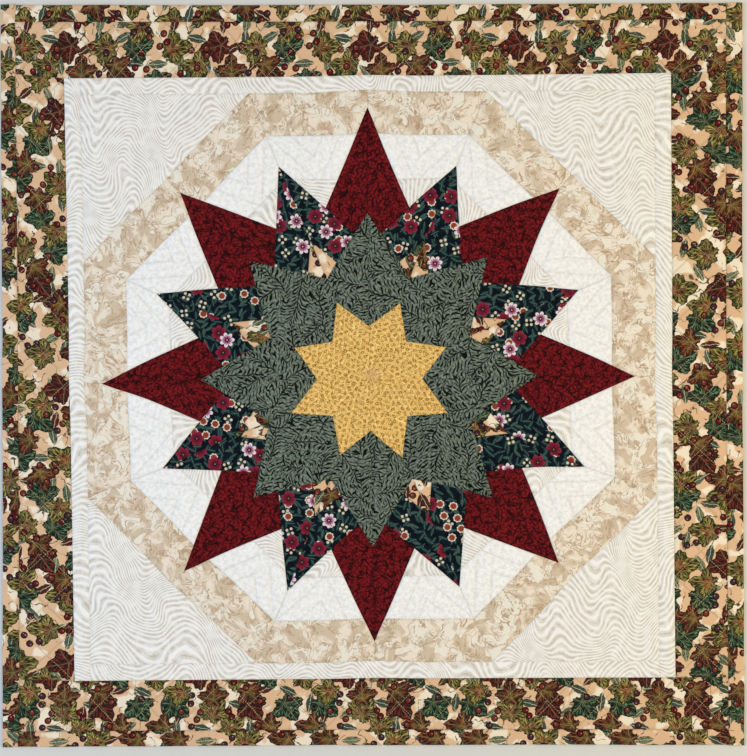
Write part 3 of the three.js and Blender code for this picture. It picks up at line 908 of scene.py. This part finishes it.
def paint_leaf_print(r, grain, crowd=1.0):
    """Autumn leaves and berries, crowded on peach tan."""
    colour = r.mix(r.step(r.cloud(grain, 26.0), 0.53, 0.6), dye(221, 183, 145), dye(238, 225, 202))
    bent = wavered(r, grain, 9.0, 9.0)
    vine = r.cloud(bent, 19.0, detail=0.0)
    curl = r.step(r.apart(vine, 0.5), 0.024, 0.012)
    colour = r.mix(r.times(curl, r.step(r.cloud(grain, 16.0), 0.46, 0.52)), colour, dye(88, 74, 54))
    for shift, seed in ((0.0, 41.0), (13.0, 45.0)):
        spot = strewn(r, shifted(r, grain, shift, shift), 30.0, 0.1, seed, 6.0)
        blade = r.use(BLADE, Place=wavered(r, spot["Place"], 4.0, 2.5), Length=13.0, Width=4.8)
        greens = [dye(120, 126, 96), dye(92, 104, 84), dye(84, 30, 28), dye(64, 80, 70)]
        green = r.choose(spot["Chance"], greens)
        green = r.mix(r.step(r.cloud(spot["Place"], 2.2), 0.5, 0.62), green, dye(46, 50, 40))
        green = r.mix(blade["Midrib"], green, dye(196, 190, 156))
        colour = r.mix(r.times(blade["Fill"], r.below(spot["Second chance"], 0.6)), colour, green)
    colour = add_leaves(r, colour, grain, UNDER_LEAVES, crowd)
    colour = add_leaves(r, colour, grain, OVER_LEAVES, crowd)
    for shift, seed in ((5.0, 61.0), (15.0, 67.0)):
        spot = strewn(r, shifted(r, grain, shift, -shift), 20.4, 0.45, seed, 9.0)
        away = r.vector("LENGTH", spot["Place"])
        skin = r.choose(spot["Second chance"], [dye(98, 22, 24), dye(64, 40, 50), dye(112, 50, 36)])
        berry = r.mix(r.step(away, 2.5, 3.3), skin, dye(34, 10, 14))
        shine = r.vector("LENGTH", r.vector("SUBTRACT", spot["Place"], (1.2, 1.2, 0)))
        berry = r.mix(r.times(r.step(shine, 1.2, 0.5), 0.5), berry, dye(206, 160, 140))
        colour = r.mix(r.times(r.step(away, 4.5, 4.1), r.below(spot["Chance"], 0.32)), colour, berry)
    return colour


def paint_peeks(r, grain):
    """The leaf print where the peeks are cut from it, with fewer leaves."""
    return paint_leaf_print(r, grain, 0.5)


def paint_backing(r, grain):
    """Plain cream cotton."""
    return r.mix(r.cloud(grain, 30.0), dye(232, 224, 204), dye(222, 212, 190))


def paint_thread(r, grain):
    """Twisted cotton thread."""
    return r.mix(r.cloud(grain, 0.8), dye(216, 198, 154), dye(192, 172, 130))


# Each cotton has its own strength of painted shade near the seams.
GOLD_COTTON = new_cloth("gold cotton", paint_gold, seam_painted_shade=0.08)
GREEN_COTTON = new_cloth("green fern cotton", paint_green, seam_painted_shade=0.15)
RED_COTTON = new_cloth("dark red cotton", paint_red)
NAVY_COTTON = new_cloth("navy floral cotton", paint_navy)
WHITE_COTTON = new_cloth("white cotton", paint_white, cotton=0.05, seam_painted_shade=0.24)
GRAIN_COTTON = new_cloth("wood grain cotton", paint_grain, cotton=0.05, seam_painted_shade=0.08)
TAN_COTTON = new_cloth("tan marble cotton", paint_tan, cotton=0.06, seam_painted_shade=0.15)
LEAF_COTTON = new_cloth("leaf print cotton", paint_leaf_print)
PEEK_COTTON = new_cloth("leaf print cotton of the peeks", paint_peeks)
BACKING_COTTON = new_cloth("backing cotton", paint_backing)
THREAD = new_cloth("quilting thread", paint_thread, weave=0.3)

# Which way each patch was cut from its cloth.
cutting = np.random.default_rng(12)


def lay_ring(name, outline, material, quilting=(), replaces=()):
    """The sixteen patches of one fabric round the star, two to a point and mirrored about its axis."""
    cloth = Cloth()
    panel = cut_panel(outline, quilting)
    for k in range(POINTS):
        for mirror in (False, True):
            turn = cutting.uniform(0, 2 * math.pi)
            cloth.lay(panel, 2 * HALF_STEP * k, mirror, turn, cutting.uniform(-1, 1, 2))
    piece = cloth.make(name, material, replaces)


def echo_lines(notch, red_tip, navy_tip):
    """Quilting lines that follow a notch between two points of the star, each step further out."""
    lines = []
    for gap in ECHOES:
        red_way, navy_way = (red_tip - notch) / 2, (navy_tip - notch) / 2
        red_side = gap * np.array([-red_way[1], red_way[0]]) / np.linalg.norm(red_way)
        navy_side = gap * np.array([navy_way[1], -navy_way[0]]) / np.linalg.norm(navy_way)
        red_foot, navy_foot = notch + red_side, notch + navy_side
        corner = meet(red_foot, red_foot + red_way, navy_foot, navy_foot + navy_way)
        lines += [(corner, corner + red_way * ECHO_REACH), (corner, corner + navy_way * ECHO_REACH)]
    return lines


def lay_pieces(name, panels, material):
    """Plain patches, each turned a quarter, a half or not at all about the middle."""
    cloth = Cloth()
    for panel, quarters in panels:
        cloth.lay(panel, quarters * math.pi / 2, grain_shift=cutting.uniform(-1, 1, 2))
    piece = cloth.make(name, material)


def oblong(low_x, low_y, high_x, high_y):
    return [(low_x, low_y), (high_x, low_y), (high_x, high_y), (low_x, high_y)]


def border_strip(ends):
    """The border's strip on the right: a row of cells, each quilted along both its diagonals."""
    length = 2 * SQUARE / BORDER_CELLS
    width = FAR - SQUARE
    box = oblong(SQUARE, 0, FAR, length)
    pattern = cut_panel(box, quilting=[(box[0], box[2]), (box[3], box[1])], seams=(1, 3))
    stops = np.linspace(-SQUARE, SQUARE, BORDER_CELLS + 1)
    if ends:
        stops = np.concatenate([[-SQUARE - width], stops, [SQUARE + width]])
    points, faces = [], []
    for k, (start, stop) in enumerate(zip(stops, stops[1:])):
        points.append(pattern.points * [1, (stop - start) / length] + [0, start])
        faces.append(pattern.faces + k * len(pattern.points))
    points, faces = np.vstack(points), np.vstack(faces)
    _, first, same = np.unique(np.round(points / SAME), axis=0, return_index=True, return_inverse=True)
    quilting = []
    for start, stop in zip(stops, stops[1:]):
        quilting.append(np.array([(SQUARE, start), (FAR, stop)]))
        quilting.append(np.array([(SQUARE, stop), (FAR, start)]))
    outline = np.array(oblong(SQUARE, stops[0], FAR, stops[-1]))
    return Panel(outline, points[first], same.ravel()[faces], quilting)


# The pieced top.
patches = star_patches()
lay_ring("gold_star", patches["gold"], GOLD_COTTON)
lay_ring("green_points", patches["green"], GREEN_COTTON)
lay_ring("leaf_peeks", patches["peek"], PEEK_COTTON)
lay_ring("navy_points", patches["navy"], NAVY_COTTON)
lay_ring("red_points", patches["red"], RED_COTTON)
lay_ring("grain_fill", patches["grain"], GRAIN_COTTON)
echoes = echo_lines(patches["grain"][0], patches["red"][1], patches["navy"][1])
lay_ring("white_ring", patches["white"], WHITE_COTTON, echoes, ["quilt_body"])
lay_ring("tan_ring", patches["tan"], TAN_COTTON)

corner_foot = SQUARE_INNER * math.tan(HALF_STEP)
corner = cut_panel([(SQUARE_INNER, corner_foot), (SQUARE_INNER, SQUARE_INNER), (corner_foot, SQUARE_INNER)])
lay_pieces("grain_corners", [(corner, k) for k in range(4)], GRAIN_COTTON)
tall = cut_panel(oblong(SQUARE_INNER, -SQUARE, SQUARE, SQUARE))
short = cut_panel(oblong(SQUARE_INNER, -SQUARE_INNER, SQUARE, SQUARE_INNER))
lay_pieces("grain_strips", [(tall, 0), (short, 1), (tall, 2), (short, 3)], GRAIN_COTTON)
side_strip, end_strip = border_strip(False), border_strip(True)
border = [(side_strip, 0), (end_strip, 1), (side_strip, 2), (end_strip, 3)]
lay_pieces("leaf_border", border, LEAF_COTTON)


def binding_section():
    """The folded binding cut across, from the top seam over the edge to the back seam: outside and inside."""
    path = [(out * MM, SEAM_Z + up * MM) for out, up in BINDING_RISE]
    path += [(out * MM, BINDING_TOP - down * MM) for out, down in BINDING_FACE]
    roll = path[-1][1] / 2
    for angle in np.linspace(math.pi / 2, -math.pi / 2, 11)[1:]:
        path.append((BINDING - roll + roll * math.cos(angle), roll + roll * math.sin(angle)))
    path += [(out * MM, up * MM) for out, up in BINDING_BACK]
    path = np.array(path)
    way = np.gradient(path, axis=0)
    way /= np.linalg.norm(way, axis=1)[:, None]
    inner = path + CLOTH * np.column_stack([way[:, 1], -way[:, 0]])
    return path, inner


def make_binding(name, quarters, half_length, rounded, node):
    """One side's binding: a folded strip of the leaf print that wraps the quilt's edge."""
    outer, inner = binding_section()
    ring = np.vstack([outer, inner[::-1]])
    walk = np.concatenate([[0], np.cumsum(np.linalg.norm(np.diff(outer, axis=0), axis=1))])
    walk = np.concatenate([walk, walk[::-1]])
    # Painted shade, darkest beside the binding's top seam.
    seam = np.exp(-walk / BINDING_SHADE)
    stations = np.linspace(-half_length, half_length, round(2 * half_length / BINDING_STEP) + 1)
    if rounded:
        curl = half_length - roll_in(np.linspace(0, math.pi / 2, 5))
        stations = np.unique(np.concatenate([-curl, stations[abs(stations) < curl.min() - MM], curl]))
    rows, grains = [], []
    for s in stations:
        a, z = ring.T.copy()
        soft = np.clip(a / EASE_OUT, 0, 1) * np.clip((z - MM) / EASE_UP, 0, 1)
        wave = RIPPLE * wander(s, 3 * a, RIPPLE_SIZE, 21) + CRINKLE * wander(s, 0, CRINKLE_SIZE, 23)
        z = z + soft * (wave - CRINKLE)
        a = a - EDGE_STRAY * (a / BINDING) * (1 + wander(s, 0, EDGE_STRAY_SIZE, 25))
        if rounded:
            left = max(0.0, half_length - abs(s))
            full = math.sqrt(max(0.0, 1 - max(0.0, 1 - left / ROLL_IN) ** 2))
            z = BINDING_TOP / 2 + (z - BINDING_TOP / 2) * full
        flat = turned(np.column_stack([FAR + a, np.full(len(a), s)]), quarters * math.pi / 2)
        x, y = lie(*flat.T)
        rows.append(np.column_stack([x, y, np.maximum(z, 0)]))
        grains.append(turned(np.column_stack([FAR + walk, np.full(len(a), s)]), quarters * math.pi / 2))
    count, turn = len(ring), len(outer)
    faces = []
    for k in range(len(stations) - 1):
        for j in range(count):
            a, b = k * count + j, k * count + (j + 1) % count
            faces += [(a, a + count, b + count), (a, b + count, b)]
    last = (len(stations) - 1) * count
    for j in range(turn - 1):
        a, b, c, d = j, j + 1, count - 2 - j, count - 1 - j
        faces += [(a, b, c), (a, c, d), (last + a, last + c, last + b), (last + a, last + d, last + c)]
    cloth = Cloth()
    shift = cutting.uniform(-1, 1, 2)
    cloth.add(np.vstack(rows), np.array(faces), np.vstack(grains) + shift, np.tile(seam, len(stations)))
    piece = cloth.make(name, LEAF_COTTON, [node])


def roll_in(angles):
    """How far in from a binding's end its rounded corner has reached at each angle of its turn."""
    return ROLL_IN * (1 - np.cos(angles))


make_binding("edging_right", 0, HALF, True, "binding_right")
make_binding("edging_top", 1, FAR, False, "binding_top")
make_binding("edging_left", 2, HALF, True, "binding_left")
make_binding("edging_bottom", 3, FAR, False, "binding_bottom")


def make_backing():
    """The plain back: one flat sheet, drawn up a little here and there by the quilting."""
    steps = round(2 * FAR / BACKING_CELL)
    line = np.linspace(-FAR, FAR, steps + 1)
    x, y = (side.ravel() for side in np.meshgrid(line, line, indexing="ij"))
    low = BACKING_LOW + DRAWN_UP * wander(x, y, DRAWN_SIZE, 31)
    around = np.array([k * (steps + 1) + j for k, j in walk_round(steps)])
    count = len(x)
    k, j = (side.ravel() for side in np.meshgrid(np.arange(steps), np.arange(steps), indexing="ij"))
    a = k * (steps + 1) + j
    b, c, d = a + steps + 1, a + steps + 2, a + 1
    faces = [np.column_stack([a, c, b]), np.column_stack([a, d, c])]
    up = count + np.arange(len(around))
    following = np.roll(around, -1), np.roll(up, -1)
    faces.append(np.column_stack([around, following[0], following[1]]))
    faces.append(np.column_stack([around, following[1], up]))
    faces.append(np.column_stack([up, following[1], np.full(len(up), count + len(around))]))
    px, py = lie(x, y)
    points = np.column_stack([px, py, low])
    rim = points[around] * [1, 1, 0] + [0, 0, BACKING_TOP]
    grain = np.column_stack([x, y])
    cloth = Cloth()
    cloth.add(
        np.vstack([points, rim, [0, 0, BACKING_TOP]]),
        np.vstack(faces),
        np.vstack([grain, grain[around], [0, 0]]),
        np.zeros(count + len(around) + 1),
    )
    piece = cloth.make("backing", BACKING_COTTON)


def walk_round(steps):
    """The grid places round the edge of a square of that many steps, anticlockwise."""
    return (
        [(k, 0) for k in range(steps)]
        + [(steps, k) for k in range(steps)]
        + [(k, steps) for k in range(steps, 0, -1)]
        + [(0, k) for k in range(steps, 0, -1)]
    )


make_backing()


def make_stitches(name, strips):
    """Hand quilting along the border's diagonals: a row of small raised stitches in each groove."""
    points, faces, grain = [], [], []
    beads = np.array([(-1, 0, 0), (0, 1, 0), (0, 0, 1), (0, -1, 0), (0, 0, -1), (1, 0, 0)])
    beads = beads * [STITCH_LENGTH / 2, STITCH_THICK / 2, STITCH_THICK / 2]
    skin = np.array([(0, 2, 1), (0, 3, 2), (0, 4, 3), (0, 1, 4), (5, 1, 2), (5, 2, 3), (5, 3, 4), (5, 4, 1)])
    for strip, quarters in strips:
        for line in strip.quilting:
            start, stop = turned(line, quarters * math.pi / 2)
            reach = np.linalg.norm(stop - start)
            run = (stop - start) / reach
            for at in np.arange(0.5, reach / STITCH_PITCH - 0.5) * STITCH_PITCH:
                middle = start + run * at
                flat = middle + beads[:, :1] * run + beads[:, 1:2] * [-run[1], run[0]]
                x, y = lie(*flat.T)
                faces.append(skin + 6 * len(points))
                points.append(np.column_stack([x, y, base_height(*middle) + STITCH_RISE + beads[:, 2]]))
                grain.append(flat)
    cloth = Cloth()
    cloth.add(np.vstack(points), np.vstack(faces), np.vstack(grain), np.zeros(6 * len(points)))
    cloth.make(name, THREAD)


make_stitches("border_stitches", border)

# A pale floor just under the quilt.
bpy.ops.mesh.primitive_plane_add(size=FLOOR_SIZE, location=(0, 0, -FLOOR_DROP))
floor = bpy.context.object
floor.name = "floor"
floor_paint = bpy.data.materials.new("pale floor")
floor_paint.use_nodes = True
floor_shader = floor_paint.node_tree.nodes["Principled BSDF"]
floor_shader.inputs["Base Color"].default_value = dye(214, 214, 210)
floor_shader.inputs["Roughness"].default_value = 0.8
floor.data.materials.append(floor_paint)


def hang(name, fitting, place, turn):
    """Hangs a lamp or the camera at its place."""
    holder = bpy.data.objects.new(name, fitting)
    holder.location = place
    holder.rotation_euler = turn
    bpy.context.scene.collection.objects.link(holder)
    return holder


def add_lamp(name, place, size, energy, tint):
    """A square lamp that points at the quilt's middle."""
    lamp = bpy.data.lights.new(name, "AREA")
    lamp.size, lamp.energy, lamp.color = size, energy, tint
    hang(name, lamp, place, (-Vector(place)).to_track_quat("-Z", "Y").to_euler())


# Even daylight, cooler from the left, with one softer and warmer lamp on the right.
add_lamp("window", (-1.9, -0.2, 1.5), 1.4, 27.3, (0.56, 0.73, 1.0))
add_lamp("room", (1.7, -0.1, 1.5), 1.6, 28.5, (1.0, 0.8, 0.4))
sky = bpy.data.worlds.new("studio")
sky.use_nodes = True
sky_glow = sky.node_tree.nodes["Background"]
sky_glow.inputs["Color"].default_value = (0.965, 0.975, 1.0, 1.0)
sky_glow.inputs["Strength"].default_value = 0.52
bpy.context.scene.world = sky
bpy.context.scene.view_settings.view_transform = "Standard"

# The camera looks straight down, held a little askew.
camera = bpy.data.cameras.new("camera")
camera.sensor_fit = "HORIZONTAL"
camera.sensor_width = SENSOR
camera.lens = SENSOR * CAMERA_HEIGHT / VIEW_WIDTH
camera_place = (CAMERA_RIGHT, CAMERA_UP, CAMERA_HEIGHT)
bpy.context.scene.camera = hang("camera", camera, camera_place, (0, 0, -CAMERA_ASKEW))
